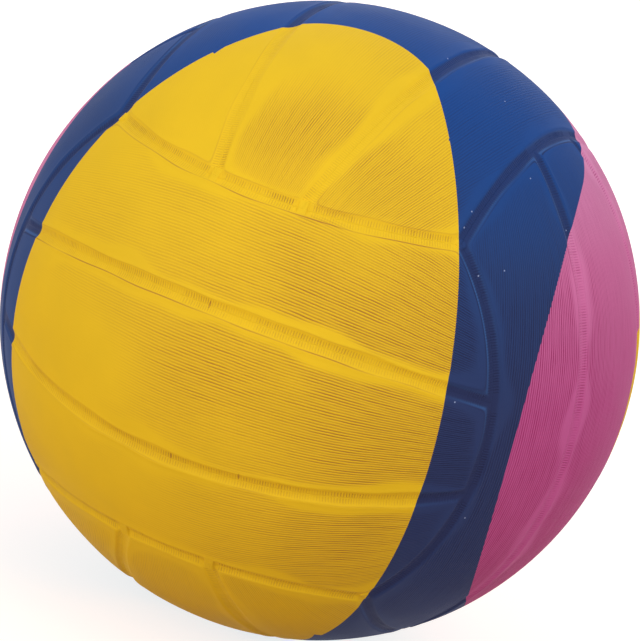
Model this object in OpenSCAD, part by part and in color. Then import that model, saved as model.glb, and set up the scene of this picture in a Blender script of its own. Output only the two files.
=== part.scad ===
// A water polo ball: eighteen rubber cover panels in six groups of three strips, bonded to a
// carcass, a thread winding and a bladder, with a needle valve in the back.
// The origin is the ball's centre. The front group faces -Y, the top group +Z, the right group +X.

/* [Ball] */
// Outside diameter of the inflated ball
ball_d = 210; // [180:1:240]

/* [Cover] */
// Thickness of a cover panel
cover_t = 1.5; // [1.3:0.1:3]
// Depth of the channel where two panels meet
channel_depth = 1.0; // [0.4:0.05:1.1]
// Width of the channel from lip to lip
channel_w = 6.0; // [3:0.5:9]
// Gap between two panels at the bottom of their channel
panel_gap = 0.1; // [0.05:0.05:0.3]
// Angle from the middle of a group to the channels beside its middle strip
strip_angle = 14.3; // [10:0.1:18]

/* [Layers under the cover] */
// Thickness of the rubber carcass
carcass_t = 0.5; // [0.3:0.1:1.5]
// Thickness of the thread winding
winding_t = 0.5; // [0.3:0.1:1.5]
// Thickness of the bladder wall
bladder_t = 0.7; // [0.4:0.1:1.5]
// Glue line between two layers
bond_gap = 0.05; // [0.02:0.01:0.15]

/* [Valve] */
// Diameter of the hole in the cover round the valve
eye_d = 13; // [11:0.5:18]
// Diameter of the valve housing's barrel
barrel_d = 11; // [9.5:0.5:14]
// Length of the barrel below the bladder
barrel_l = 22; // [19:1:30]
// Diameter of the flange that is bonded to the bladder
flange_d = 30; // [22:1:40]
// Thickness of the flange
flange_t = 0.9; // [0.6:0.1:1.5]
// Diameter of the core's stem
stem_d = 6; // [5:0.25:7]
// Length of the core's stem
stem_l = 20; // [17:0.5:22]
// Diameter of the core's head
head_d = 7.4; // [7.2:0.1:9]
// Diameter of the needle hole in the core
needle_d = 2.2; // [1.8:0.1:2.6]
// Depth of the needle hole from the top of the stem
needle_l = 12; // [8:0.5:14]
// Width of the slits that close behind the needle
slit_w = 0.3; // [0.2:0.05:0.5]
// Length of the slits across the valve
slit_l = 3.6; // [3:0.1:4.4]
// Running gap round the stem and the head
core_gap = 0.06; // [0.02:0.01:0.1]
// Gap round the pieces that are bonded into a hole
seat_gap = 0.05; // [0.02:0.01:0.15]

/* [Balance patch] */
// Diameter of the patch opposite the valve
patch_d = 34; // [20:1:50]
// Thickness of the patch
patch_t = 1.2; // [0.6:0.1:2.5]

/* [Hidden] */
$fn = 240;
yellow = [0.90, 0.74, 0.17];
blue = [0.16, 0.30, 0.56];
pink = [0.80, 0.42, 0.62];
natural = [0.78, 0.70, 0.55];
nylon = [0.90, 0.89, 0.84];
butyl = [0.10, 0.10, 0.11];
soft_black = [0.16, 0.16, 0.17];

// Overrun of every cut, as a share of the cover's thickness
over = cover_t / 3;
ball_r = ball_d / 2;
cover_in_r = ball_r - cover_t;
carcass_r = cover_in_r - bond_gap;
carcass_in_r = carcass_r - carcass_t;
winding_r = carcass_in_r - bond_gap;
winding_in_r = winding_r - winding_t;
bladder_r = winding_in_r - bond_gap;
bladder_in_r = bladder_r - bladder_t;
lining_r = bladder_in_r - bond_gap;

// A group's corners are the corners of a cube, so each side of a group lies on a circle this far
// from the axis of the group beyond it.
side_angle = acos(1 / sqrt(3));
// Half of the panel gap, as an angle at the panel's inner face
gap_angle = asin(panel_gap / 2 / cover_in_r);
// Two groups meet on a flat joint, this far from the ball's centre, so that it comes out in the
// middle of the channel's floor.
joint_height = (ball_r - channel_depth) / sqrt(3);
// A strip ends this far from its group's long axis or farther, so its profile starts short of it
end_angle = (90 - side_angle) / 2;
// A channel is a round groove: its radius, and how far out its own centre lies
groove_r = (pow(channel_w / 2, 2) + pow(channel_depth, 2)) / 2 / channel_depth;
groove_out = ball_r - channel_depth + groove_r;

// Heights in the valve, measured from the ball's centre. The barrel's flat top ends flush with
// the carcass at its rim.
neck_top = sqrt(pow(carcass_r, 2) - pow(barrel_d / 2, 2));
stem_bottom = neck_top - stem_l;
barrel_bottom = bladder_in_r - barrel_l;
barrel_floor_t = stem_bottom - barrel_bottom - core_gap;

// Each group of strips: its name, the turn that brings it from the top of the ball to its place,
// its colour, and its strips in the order in which they lie.
GROUPS = [
    ["front", [90, 0, 0], yellow, ["lower", "middle", "upper"]],
    ["back", [90, 0, 180], yellow, ["lower", "middle", "upper"]],
    ["top", [0, 0, -90], blue, ["left", "middle", "right"]],
    ["bottom", [180, 0, 90], blue, ["left", "middle", "right"]],
    ["right", [0, 90, 0], pink, ["front", "middle", "back"]],
    ["left", [0, -90, 0], pink, ["front", "middle", "back"]],
];
VALVE_PANEL = "back_middle_panel";

function panel_name(group, strip) = str(group[0], "_", group[3][strip + 1], "_panel");

// A ball-shaped layer between two radii
module layer(outer_r, inner_r) {
    difference() {
        sphere(r = outer_r);
        sphere(r = inner_r);
    }
}

// A block larger than the ball, from this height upward
module block_above(height) {
    translate([-ball_d, -ball_d, height]) cube(2 * ball_d);
}

// The round groove along a circle about the Z axis, seen from the centre at this angle from it
module channel(angle) {
    rotate_extrude() rotate(-angle) translate([0, groove_out]) circle(r = groove_r);
}

// Turns the Z axis towards the strip's side
module to_side(side) {
    rotate([side > 0 ? -90 : 90, 0, 0]) children();
}

// The channel between the middle strip and the strip on one side leans out from the middle
module strip_channel(side) {
    rotate([90 - side * strip_angle, 0, 0]) channel(90);
}

// The cover's cross-section in the right half plane, short of the axis that it is turned about
module cover_profile() {
    difference() {
        circle(r = ball_r);
        circle(r = cover_in_r);
        translate([-ball_d + cover_in_r * sin(end_angle), -ball_r]) square(ball_d);
    }
}

// The part of the cover that lies between two planes through the X axis, at these angles from Z
// towards Y
module lune(from, to) {
    rotate([-from, 0, 0]) rotate([0, -90, 0])
        rotate_extrude(angle = to - from) cover_profile();
}

// One group's strip at the top of the ball: the strips run along X and lie side by side along Y.
module plain_strip(strip) {
    difference() {
        intersection() {
            if (strip == 0) lune(gap_angle - strip_angle, strip_angle - gap_angle);
            if (strip > 0) lune(strip_angle + gap_angle, side_angle);
            if (strip < 0) lune(-side_angle, -strip_angle - gap_angle);
            block_above(joint_height + panel_gap / 2);
        }
        if (strip != 0) to_side(strip) block_above(joint_height - panel_gap / 2);
    }
}

// The strip with a round lip on each edge: half of a channel is cut along its ends, then along
// its long edges.
module strip_blank(strip) {
    difference() {
        difference() {
            plain_strip(strip);
            channel(side_angle);
        }
        for (side = strip == 0 ? [-1, 1] : [strip]) strip_channel(side);
        if (strip != 0) to_side(strip) channel(side_angle);
    }
}

module cover_panel(group, strip) {
    color(group[2]) difference() {
        rotate(group[1]) strip_blank(strip);
        if (panel_name(group, strip) == VALVE_PANEL) valve_hole(eye_d);
    }
}

// A round hole along the valve's axis, through every layer
module valve_hole(diameter) {
    to_valve() translate([0, 0, ball_r / 2]) cylinder(h = ball_r, d = diameter);
}

// Turns the Z axis to the valve's place in the back
module to_valve() {
    rotate([-90, 0, 0]) children();
}

// A round piece of a layer about the Z axis
module disc(outer_r, inner_r, diameter) {
    intersection() {
        layer(outer_r, inner_r);
        cylinder(h = outer_r, d = diameter);
    }
}

module slit(height, length) {
    translate([-slit_l / 2, -slit_w / 2, height]) cube([slit_l, slit_w, length]);
}

module carcass() {
    color(natural) difference() {
        layer(carcass_r, carcass_in_r);
        valve_hole(barrel_d + 2 * seat_gap);
    }
}

module thread_winding() {
    color(nylon) difference() {
        layer(winding_r, winding_in_r);
        valve_hole(barrel_d + 2 * seat_gap);
    }
}

module bladder() {
    color(butyl) difference() {
        layer(bladder_r, bladder_in_r);
        valve_hole(barrel_d + 2 * seat_gap);
    }
}

module valve_housing() {
    color(butyl) to_valve() difference() {
        union() {
            disc(lining_r, lining_r - flange_t, flange_d);
            translate([0, 0, barrel_bottom]) cylinder(h = neck_top - barrel_bottom, d = barrel_d);
        }
        translate([0, 0, stem_bottom - core_gap])
            cylinder(h = ball_r - stem_bottom, d = stem_d + 2 * core_gap);
        slit(barrel_bottom - over, barrel_floor_t + 2 * over);
    }
}

module valve_core() {
    color(soft_black) to_valve() difference() {
        union() {
            translate([0, 0, stem_bottom]) cylinder(h = stem_l + over, d = stem_d);
            intersection() {
                sphere(r = ball_r);
                translate([0, 0, neck_top + core_gap]) cylinder(h = ball_r, d = head_d);
            }
        }
        translate([0, 0, neck_top - needle_l]) cylinder(h = ball_r, d = needle_d);
        slit(stem_bottom - over, stem_l - needle_l + 2 * over);
    }
}

module valve_collar() {
    color(yellow) to_valve() difference() {
        intersection() {
            sphere(r = ball_r);
            translate([0, 0, neck_top + bond_gap]) cylinder(h = ball_r, d = eye_d - 2 * seat_gap);
        }
        cylinder(h = 2 * ball_r, d = head_d + 2 * core_gap);
    }
}

module balance_patch() {
    color(butyl) rotate([90, 0, 0]) disc(lining_r, lining_r - patch_t, patch_d);
}

for (group = GROUPS, strip = [-1 : 1])
    cover_panel(group, strip);
carcass();
thread_winding();
bladder();
valve_housing();
valve_core();
valve_collar();
balance_patch();
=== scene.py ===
"""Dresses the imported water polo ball: rubber cover panels with moulded channels, grooves and
painted colour zones, the valve in the back, and the layers under the cover.

Every length is in metres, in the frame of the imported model: the front of the ball faces -Y, its top
+Z and its right side +X.
"""

from __future__ import annotations

import logging
import math
from dataclasses import dataclass, field
from enum import Enum
from typing import Callable, Sequence

import bpy
import numpy as np
from mathutils import Matrix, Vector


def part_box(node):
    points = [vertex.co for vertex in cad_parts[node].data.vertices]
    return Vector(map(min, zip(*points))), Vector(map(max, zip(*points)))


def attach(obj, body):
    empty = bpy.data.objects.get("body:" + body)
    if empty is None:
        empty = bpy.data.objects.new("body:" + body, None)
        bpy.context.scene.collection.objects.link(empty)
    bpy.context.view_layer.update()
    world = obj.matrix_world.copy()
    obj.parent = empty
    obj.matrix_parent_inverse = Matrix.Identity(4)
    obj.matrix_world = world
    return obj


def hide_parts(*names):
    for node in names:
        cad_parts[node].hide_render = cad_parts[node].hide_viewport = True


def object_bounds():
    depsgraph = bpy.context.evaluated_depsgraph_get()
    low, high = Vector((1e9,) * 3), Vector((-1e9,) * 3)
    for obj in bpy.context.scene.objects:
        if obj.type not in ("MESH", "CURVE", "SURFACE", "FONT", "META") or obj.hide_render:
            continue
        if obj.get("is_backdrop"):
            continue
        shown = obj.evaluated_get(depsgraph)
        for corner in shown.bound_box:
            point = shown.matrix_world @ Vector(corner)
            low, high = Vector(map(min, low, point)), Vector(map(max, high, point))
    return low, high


LOG = logging.getLogger("water_polo_ball")
MM = 0.001
# What the mesh of a cover panel keeps for each of its points
TRAITS = ("height", "joined", "across", "along", "first_turns", "second_turns", "groove_share",
          "rib_turns", "rib_share", "crease_and_painted_light_share")
# Upward and a little backward on the ball
UPWARD = np.array([0.0, 0.37, 0.93])
# Nearly all values of soft noise lie between these
NOISE_LOW, NOISE_HIGH = 0.3, 0.7

Array = np.ndarray
Pair = tuple[float, float]
Point = tuple[float, float, float]
Colour = tuple[float, ...]
Socket = bpy.types.NodeSocket
Value = "Socket | float | Sequence[float]"


def smooth_step(values: Array, start: float, end: float) -> Array:
    """Rises smoothly from 0 at start to 1 at end: 3t^2 - 2t^3 of the clipped share t.

    Args:
        values: Where to work it out.
        start: The value at which the rise starts.
        end: The value at which it is complete.

    Returns:
        The rise, from 0 to 1, in the shape of values.
    """
    t = np.clip((values - start) / (end - start), 0, 1)
    return t * t * (3 - 2 * t)


@dataclass(frozen=True)
class Waves:
    """Smooth unevenness: a sum of plane waves with seeded directions, lengths and phases."""

    seed: int
    length: float
    strength: float
    count: int = 16

    def at(self, points: Array) -> Array:
        """Adds up cos(2 pi p . direction / length + phase), scaled to a spread of the strength.

        Args:
            points: Places as rows of x, y, z.

        Returns:
            One value for each place.
        """
        draw = np.random.default_rng(self.seed)
        direction = draw.normal(size=(self.count, 3))
        direction /= np.linalg.norm(direction, axis=1, keepdims=True)
        length = self.length * draw.uniform(0.7, 1.5, self.count)
        phase = draw.uniform(0, 2 * math.pi, self.count)
        angle = points @ (direction * (2 * math.pi / length)[:, None]).T + phase
        return self.strength * (np.cos(angle).sum(axis=1) / math.sqrt(self.count / 2))


def grid_quads(ids: Array) -> Array:
    """Joins a grid of vertex numbers into quads, in the turn of rising row, then rising column."""
    corners = [ids[:-1, :-1], ids[1:, :-1], ids[1:, 1:], ids[:-1, 1:]]
    return np.stack(corners, axis=-1).reshape(-1, 4)


def stitch(coarse: Array, fine: Array) -> Array:
    """Joins two chains of vertices with triangles, where each step of one is several of the other.

    The first half of a step's fine edges fans out from the step's first vertex, and the second half
    from its last.

    Args:
        coarse: Vertex numbers of the chain with long steps.
        fine: Vertex numbers of the chain with short steps, a whole number of them to a long one.

    Returns:
        Three vertex numbers a row.
    """
    steps = len(coarse) - 1
    per_step = (len(fine) - 1) // steps
    half = per_step // 2
    first = np.arange(steps) * per_step
    edge = first[:, None] + np.arange(per_step)
    hub = np.where(np.arange(per_step) < half, coarse[:-1, None], coarse[1:, None])
    fans = np.stack([hub, fine[edge], fine[edge + 1]], axis=-1).reshape(-1, 3)
    links = np.stack([coarse[:-1], fine[first + half], coarse[1:]], axis=-1)
    return np.concatenate([fans, links])


@dataclass
class Skin:
    """A mesh in the making: blocks of vertices with their traits, and the faces that join them."""

    trait_count: int = 0
    points: list[Array] = field(default_factory=list)
    traits: list[Array] = field(default_factory=list)
    faces: list[Array] = field(default_factory=list)
    flat: list[bool] = field(default_factory=list)
    size: int = 0

    def add_points(self, points: Array, traits: Array | None = None) -> Array:
        """Adds a block of vertices.

        Args:
            points: Places, with x, y, z as the last axis.
            traits: One row of traits for each place, or nothing for noughts.

        Returns:
            Their vertex numbers, in the block's own shape.
        """
        shape = points.shape[:-1]
        ids = np.arange(self.size, self.size + int(np.prod(shape))).reshape(shape)
        self.points.append(points.reshape(-1, 3))
        self.traits.append(np.zeros((ids.size, self.trait_count)) if traits is None else traits)
        self.size += ids.size
        return ids

    def add_faces(self, faces: Array, flipped: bool = False, flat: bool = False) -> None:
        """Adds faces, turned round if flipped and without smooth shading if flat."""
        self.faces.append(faces[:, ::-1] if flipped else faces)
        self.flat.append(flat)

    def mesh(self, name: str, trait_names: Sequence[str] = ()) -> bpy.types.Mesh:
        """Makes the mesh, without the vertices that no face uses.

        Args:
            name: The mesh's name.
            trait_names: The name of each trait, under which the mesh keeps it.

        Returns:
            The new mesh.
        """
        used = np.unique(np.concatenate([faces.ravel() for faces in self.faces]))
        number = np.full(self.size, -1)
        number[used] = np.arange(used.size)
        points = np.concatenate(self.points)[used]
        corners = np.concatenate([number[faces.ravel()] for faces in self.faces])
        counts = [len(faces) for faces in self.faces]
        sides = np.repeat([faces.shape[1] for faces in self.faces], counts)
        sharp = np.repeat(self.flat, counts)
        starts = np.concatenate([[0], np.cumsum(sides)[:-1]])
        mesh = bpy.data.meshes.new(name)
        mesh.vertices.add(len(points))
        mesh.vertices.foreach_set("co", points.astype(np.float32).ravel())
        mesh.loops.add(len(corners))
        mesh.loops.foreach_set("vertex_index", corners.astype(np.int32))
        mesh.polygons.add(len(sides))
        mesh.polygons.foreach_set("loop_start", starts.astype(np.int32))
        mesh.polygons.foreach_set("use_smooth", ~sharp)
        mesh.update(calc_edges=True)
        if trait_names:
            traits = np.concatenate(self.traits)[used].astype(np.float32)
            for column, trait in enumerate(trait_names):
                kept = mesh.attributes.new(trait, "FLOAT", "POINT")
                kept.data.foreach_set("value", np.ascontiguousarray(traits[:, column]))
        mesh.validate()
        return mesh


def new_object(name: str, data: bpy.types.ID) -> bpy.types.Object:
    """Puts a mesh, a lamp or a camera into the scene as an object at the origin."""
    piece = bpy.data.objects.new(name, data)
    bpy.context.scene.collection.objects.link(piece)
    return piece


class Group(Enum):
    """The six groups of strips: the direction across the strips and the one out of the ball, in the
    ball's axes, then the material slot and the strips' names.
    """

    FRONT = ((0, 0, 1), (0, -1, 0), "yellow_cover", ("lower", "middle", "upper"))
    BACK = ((0, 0, 1), (0, 1, 0), "yellow_cover", ("lower", "middle", "upper"))
    TOP = ((1, 0, 0), (0, 0, 1), "blue_cover", ("left", "middle", "right"))
    BOTTOM = ((1, 0, 0), (0, 0, -1), "blue_cover", ("left", "middle", "right"))
    RIGHT = ((0, 1, 0), (1, 0, 0), "pink_cover", ("front", "middle", "back"))
    LEFT = ((0, 1, 0), (-1, 0, 0), "pink_cover", ("front", "middle", "back"))

    @property
    def axes(self) -> Array:
        """Rows: along the strips, across them, and out of the ball."""
        across, out = np.array(self.value[0], float), np.array(self.value[1], float)
        return np.stack([np.cross(across, out), across, out])

    @property
    def slot(self) -> str:
        """The material slot in the record."""
        return self.value[2]

    def panel_name(self, strip: int) -> str:
        """The node of the strip at -1, 0 or 1."""
        return f"{self.name.lower()}_{self.value[3][strip + 1]}_panel"


@dataclass(frozen=True)
class Spot:
    """A place on the cover where the fine grooves are stronger or weaker than elsewhere."""

    towards: Point
    spread: float
    change: float

    def at(self, world: Array) -> Array:
        """The change at places on the ball: a bell of the distance over the spread."""
        middle = np.array(self.towards) / np.linalg.norm(self.towards) * np.linalg.norm(world[0])
        distance = np.linalg.norm(world - middle, axis=1)
        return self.change * np.exp(-((distance / self.spread) ** 2))


@dataclass(frozen=True)
class Seam:
    """One seam beside a strip, measured at points of the strip.

    Attributes:
        gap: The distance of each point from the seam.
        along: The place of each point along the seam.
        axis: Which of the group's axes the places run along.
        inside: The direction in the group's axes in which the distance grows.
    """

    gap: Array
    along: Array
    axis: int
    inside: Point

    def rise(self, group: Group, world: Array) -> Array:
        """How steeply the distance grows upward and a little backward on the ball, from -1 to 1."""
        inside = np.array(self.inside) @ group.axes
        unit = world / np.linalg.norm(world, axis=1, keepdims=True)
        return inside @ UPWARD - (unit @ inside) * (unit @ UPWARD)


@dataclass(frozen=True)
class CoverRelief:
    """The height of the cover over the whole ball, and where its fine grooves run.

    Of a pair of numbers called start, end or clear, the first is where something starts to change
    and the second where the change is complete. A pair called limits is the least and the most.
    """

    radius: float
    strip_angle: float = math.radians(14.3)
    least_gap: float = 0.02 * MM
    box_margin: float = 0.01 * MM
    channel_depth: float = 0.80 * MM
    channel_half_width: float = 2.5 * MM
    channel_waves: Waves = Waves(3, 22 * MM, 0.07)
    lip_rounding: float = 0.10
    bead_height: float = 0.095 * MM
    bead_distance: float = 3.0 * MM
    bead_width: float = 0.65 * MM
    bead_level: float = 0.75
    bead_waves: Waves = Waves(4, 14 * MM, 0.3)
    crown_height: float = 0.10 * MM
    crown_width: float = 7.0 * MM
    crown_start: Pair = (0, 3 * MM)
    swell: Waves = Waves(5, 34 * MM, 0.035 * MM)
    swell_start: Pair = (2 * MM, 9 * MM)
    bridge_half_width: float = 1.75 * MM
    bridge_reach: float = 3.05 * MM
    bridge_edge: float = 0.45 * MM
    bridge_fill: float = 0.85
    corner_radius: float = 1.9 * MM
    corner_fill: float = 0.5
    faded: Spot = Spot((0.02, -0.58, 0.81), 38 * MM, 0.62)
    faded_start: Pair = (4 * MM, 14 * MM)
    faded_rib_rate: float = 1.6
    rib_pitch: float = 0.88 * MM
    rib_height: float = 0.028 * MM
    rib_level: float = 0.95
    rib_limits: Pair = (0.3, 1.5)
    rib_waves: Waves = Waves(6, 15 * MM, 0.25)
    rib_wander: Waves = Waves(7, 9 * MM, 0.10)
    rib_beats: tuple[Point, ...] = ((0.15, 0.31, 0.0), (0.15, 0.137, 1.0))
    rib_low_side: float = 0.60
    rib_side_start: Pair = (-0.35, 0.35)
    rib_at_ends: float = 1.25
    rib_start: Pair = (0, 0.5 * MM)
    rib_end: Pair = (1.725 * MM, 2.3 * MM)
    rib_clear: Pair = (2.8 * MM, 4.0 * MM)
    crease_high_side: float = 0.3
    crease_high_start: Pair = (0.15, 0.65)
    crease_low_start: Pair = (0.05, 0.50)
    crease_on_low_half: float = 0.25
    crease_half_start: Pair = (-10 * MM, 25 * MM)
    crease_level: float = 0.7
    crease_limits: Pair = (0.1, 1)
    crease_waves: Waves = Waves(11, 26 * MM, 0.3)
    groove_pitches: Pair = (0.96 * MM, 1.21 * MM)
    groove_wander: tuple[tuple[Waves, ...], ...] = (
        (Waves(8, 34 * MM, 0.14), Waves(9, 6 * MM, 0.035)), (Waves(13, 26 * MM, 0.20),))
    groove_level: float = 0.45
    groove_limits: Pair = (0.04, 1.3)
    groove_waves: Waves = Waves(10, 30 * MM, 0.09)
    groove_fringe: Waves = Waves(14, 24 * MM, 1.2 * MM)
    groove_start: Pair = (2.8 * MM, 6.0 * MM)
    groove_retreat: float = 3.2 * MM
    groove_retreat_start: Pair = (-0.7, 0)
    groove_spots: tuple[Spot, ...] = (
        Spot((0.41, -0.87, 0.27), 62 * MM, 0.62),
        Spot((0.00, -0.99, 0.11), 22 * MM, 0.30),
        Spot((0.31, -0.94, 0.14), 25 * MM, 0.20),
        Spot((0.27, -0.95, -0.15), 20 * MM, -0.45),
        Spot((-0.62, -0.78, -0.08), 50 * MM, -0.42),
        Spot((-0.43, -0.58, 0.69), 34 * MM, -0.48),
        Spot((0.02, -0.33, 0.94), 36 * MM, -0.45),
        Spot((0.02, -0.64, 0.77), 17 * MM, 0.75),
        Spot((-0.04, -0.75, -0.66), 35 * MM, -0.05),
        Spot((-0.21, -0.92, -0.32), 36 * MM, -0.30),
        Spot((0.58, -0.74, 0.34), 26 * MM, 0.30),
        Spot((0.62, -0.78, -0.09), 32 * MM, 0.40),
        Spot((0.42, -0.81, -0.40), 34 * MM, 0.35),
        Spot((-0.01, -0.93, 0.38), 22 * MM, -0.25),
        Spot((0.37, -0.54, 0.76), 18 * MM, 0.30),
        Spot((0.92, -0.20, 0.35), 45 * MM, 0.45),
        Spot((0.94, -0.32, -0.12), 36 * MM, 0.75),
        Spot((0.87, -0.28, -0.41), 30 * MM, 0.70),
        Spot((0.87, -0.34, 0.36), 18 * MM, 0.50),
        Spot((0.60, -0.41, 0.69), 30 * MM, -0.30),
    )

    @property
    def corner(self) -> float:
        """Cosine of the angle from a group's axis to the circle on which its sides lie."""
        return 1 / math.sqrt(3)

    @property
    def side_angle(self) -> float:
        """Angle from the axis of the group beyond to a group's side."""
        return math.acos(self.corner)

    def seams(self, strip: int, unit: Array) -> list[Seam]:
        """Measures a strip's points against the seams round it.

        The ends and the outer sides lie on circles about the axes, and the seams beside the middle
        strip on great circles that lean out by the strip angle.

        Args:
            strip: -1, 0 or 1.
            unit: Points of the unit sphere in the group's axes.

        Returns:
            The seams, the ends first.
        """
        x, y, z = unit.T
        lean = (math.sin(self.strip_angle), math.cos(self.strip_angle))
        round_circle = self.radius * math.sin(self.side_angle)
        ends = self.radius * (self.side_angle - np.arccos(np.clip(z, -1, 1)))
        found = [Seam(ends, round_circle * np.arctan2(y, np.abs(x)), 1, (0, 0, 1))]
        along = self.radius * np.arcsin(np.clip(x, -1, 1))
        for side in (-1, 1) if strip == 0 else (strip,):
            inward = 1 if strip == 0 else -1
            gap = self.radius * np.arcsin(inward * (z * lean[0] - side * y * lean[1]))
            found.append(Seam(gap, along, 0, (0, -inward * side * lean[1], inward * lean[0])))
        if strip != 0:
            gap = self.radius * (np.arccos(np.clip(strip * y, -1, 1)) - self.side_angle)
            found.append(Seam(gap, round_circle * np.arctan2(x, z), 0, (0, -strip, 0)))
        return found

    def meetings(self, group: Group, unit: Array) -> tuple[Array, Array]:
        """Measures points against the places where seams meet.

        The group is the same in its four quarters, so a point is folded into one of them. There are
        three such places in it: the end of the seam beside the middle strip, the end of such a seam
        of the group beyond the side, and the group's corner. Where the seams of the top and bottom
        groups end, the channel along the circle is filled over a short width. At the corner all
        three channels are, in a small disc.

        Args:
            group: The strip's group.
            unit: Points of the unit sphere in the group's axes.

        Returns:
            The distance from the nearest such place, and how far the channel is filled, 0 to 1.
        """
        reach = self.corner * math.tan(self.strip_angle)
        far = math.sqrt(1 - self.corner**2 - reach**2)
        folded = np.abs(unit) * [1, 1, 0] + unit * [0, 0, 1]
        nearest = self.radius * np.linalg.norm(folded - [self.corner] * 3, axis=1)
        filled = self.within(nearest, self.corner_radius) * self.corner_fill
        for place, run, bridged in (
                ((far, reach, self.corner), (-reach, far, 0.0), (Group.TOP, Group.BOTTOM)),
                ((reach, self.corner, far), (far, 0.0, -reach), (Group.FRONT, Group.BACK))):
            offset = (folded - place) * self.radius
            ahead = np.array(run) / np.linalg.norm(run)
            along, across = np.abs(offset @ ahead), np.abs(offset @ np.cross(place, ahead))
            bridge = self.within(along, self.bridge_half_width)
            bridge *= self.within(across, self.bridge_reach) * self.bridge_fill
            filled = np.maximum(filled, bridge * (group in bridged))
            nearest = np.minimum(nearest, np.linalg.norm(offset, axis=1))
        return nearest, filled

    def within(self, distance: Array, limit: float) -> Array:
        """1 well inside a limit and 0 beyond it, with the bridges' soft edge before it."""
        return 1 - smooth_step(distance, limit - self.bridge_edge, limit)

    def ribs(self, group: Group, seams: list[Seam], world: Array,
             nearest: Array) -> tuple[Array, Array, Array, Array]:
        """Lays the short ribs that cross the channels, one after another along each seam.

        They are stronger on the upper side of a channel than on the lower side. The crease along
        the lips, a dent that also carries painted shade, is stronger on the lower side, and on the
        upper half of the ball, where the shade falls.

        Args:
            group: The strip's group.
            seams: What seams() found.
            world: The points in the ball's axes.
            nearest: The distance from the nearest place where seams meet.

        Returns:
            The turns of the ribs' cosine at each point, how strong the ribs are there, whether the
            mesh is fine enough for them, which it isn't across a strip's ends, and how strong the
            crease along the lip and its painted shade are.
        """
        signs = group.axes.sum(axis=1)
        closest = np.stack([seam.gap for seam in seams]).argmin(axis=0)

        def of_closest(values: list[Array]) -> Array:
            """Takes each point's value at the seam that is closest to it."""
            return np.stack(values)[closest, np.arange(len(closest))]

        gap = of_closest([seam.gap for seam in seams])
        turns = of_closest([seam.along * signs[seam.axis] / self.rib_pitch for seam in seams])
        rise = of_closest([seam.rise(group, world) for seam in seams])
        side = smooth_step(rise, *self.rib_side_start)
        side = self.rib_low_side + (1 - self.rib_low_side) * side
        uneven = sum(strength * np.cos(2 * math.pi * beat * turns + phase)
                     for strength, beat, phase in self.rib_beats)
        patches = np.clip(self.rib_level + self.rib_waves.at(world) + uneven, *self.rib_limits)
        across = smooth_step(gap, *self.rib_start) * (1 - smooth_step(gap, *self.rib_end))
        share = across * patches * side * smooth_step(nearest, *self.rib_clear)
        share = np.where(closest == 0, self.rib_at_ends, 1.0) * share
        half = smooth_step(world[:, 2], *self.crease_half_start)
        half = self.crease_on_low_half + (1 - self.crease_on_low_half) * half
        # The crease's share, which also sets its painted shade and, on blue, the painted highlight
        # beside it
        crease = (self.crease_high_side * smooth_step(rise, *self.crease_high_start)
                  + smooth_step(-rise, *self.crease_low_start))
        level = np.clip(self.crease_level + self.crease_waves.at(world), *self.crease_limits)
        return turns + self.rib_wander.at(world), share, closest > 0, crease * half * level

    def grooves(self, across: Array, world: Array, joined: Array) -> tuple[Array, Array, Array]:
        """Lays the fine grooves that run along each strip.

        A line keeps one lean from the group's middle plane, like the seams beside the middle strip.
        Two sets of lines with different pitches, which wander a little, lie over each other. How
        strong they are changes slowly over the ball.

        Args:
            across: The points' distance from the group's middle plane, along the ball.
            world: The points in the ball's axes.
            joined: The distance from all the seams.

        Returns:
            The turns of each set's cosine at each point, and how strong the grooves are there.
        """
        first, second = (across / pitch + sum(waves.at(world) for waves in wander)
                         for pitch, wander in zip(self.groove_pitches, self.groove_wander))
        level = self.groove_level + self.groove_waves.at(world)
        level += sum(spot.at(world) for spot in self.groove_spots)
        retreat = self.groove_retreat * smooth_step(-level, *self.groove_retreat_start)
        reach = joined + self.groove_fringe.at(world) - retreat
        share = np.clip(level, *self.groove_limits) * smooth_step(reach, *self.groove_start)
        return first, second, share

    def measure(self, group: Group, strip: int, unit: Array) -> dict[str, Array]:
        """Works out the cover's form at points of one strip.

        The distances from the seams are joined into one, the inverse fourth root of the sum of
        their inverse fourth powers, which is nought on each seam and rounds the lips' corners. The
        channel's bowl is the depth times 1 - (joined / half width)^2 where that is above nought,
        with a small rounding. A low bead lies along each lip, and the panel rises a little to its
        middle. The channels between the top group's strips are faint near its front end.

        Args:
            group: The strip's group.
            strip: -1, 0 or 1.
            unit: Points of the unit sphere in the group's axes.

        Returns:
            The height in metres, and the other traits of the cover's finish.
        """
        world = unit @ group.axes * self.radius
        seams = self.seams(strip, unit)
        joined = sum(np.maximum(seam.gap, self.least_gap) ** -4.0 for seam in seams) ** -0.25
        joined = np.where(joined < self.least_gap, 0, joined) * (1 + self.channel_waves.at(world))
        nearest, filled = self.meetings(group, unit)
        bowl = 1 - (joined / self.channel_half_width) ** 2
        channel = (bowl + np.sqrt(bowl**2 + self.lip_rounding**2)) / 2 * (1 - filled)
        bead = np.exp(-(((joined - self.bead_distance) / self.bead_width) ** 2))
        bead *= self.bead_level + self.bead_waves.at(world)
        crown = np.exp(-((joined / self.crown_width) ** 2)) * smooth_step(joined, *self.crown_start)
        rib_turns, rib_share, fine, crease_and_painted_light_share = self.ribs(group, seams, world, nearest)
        across = self.radius * np.arctan2(unit[:, 1], unit[:, 2])
        first, second, groove_share = self.grooves(across, world, joined)
        fading = self.faded.at(world) * smooth_step(seams[0].gap, *self.faded_start)
        plain = 1 - fading * (group is Group.TOP)
        rib_share *= np.clip(1 - self.faded_rib_rate * (1 - plain), 0, 1)
        height = (
            plain * (self.bead_height * bead - self.channel_depth * channel)
            - self.crown_height * crown
            + self.swell.at(world) * smooth_step(joined, *self.swell_start)
            + self.rib_height * rib_share * fine * np.cos(2 * math.pi * rib_turns)
        )
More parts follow.
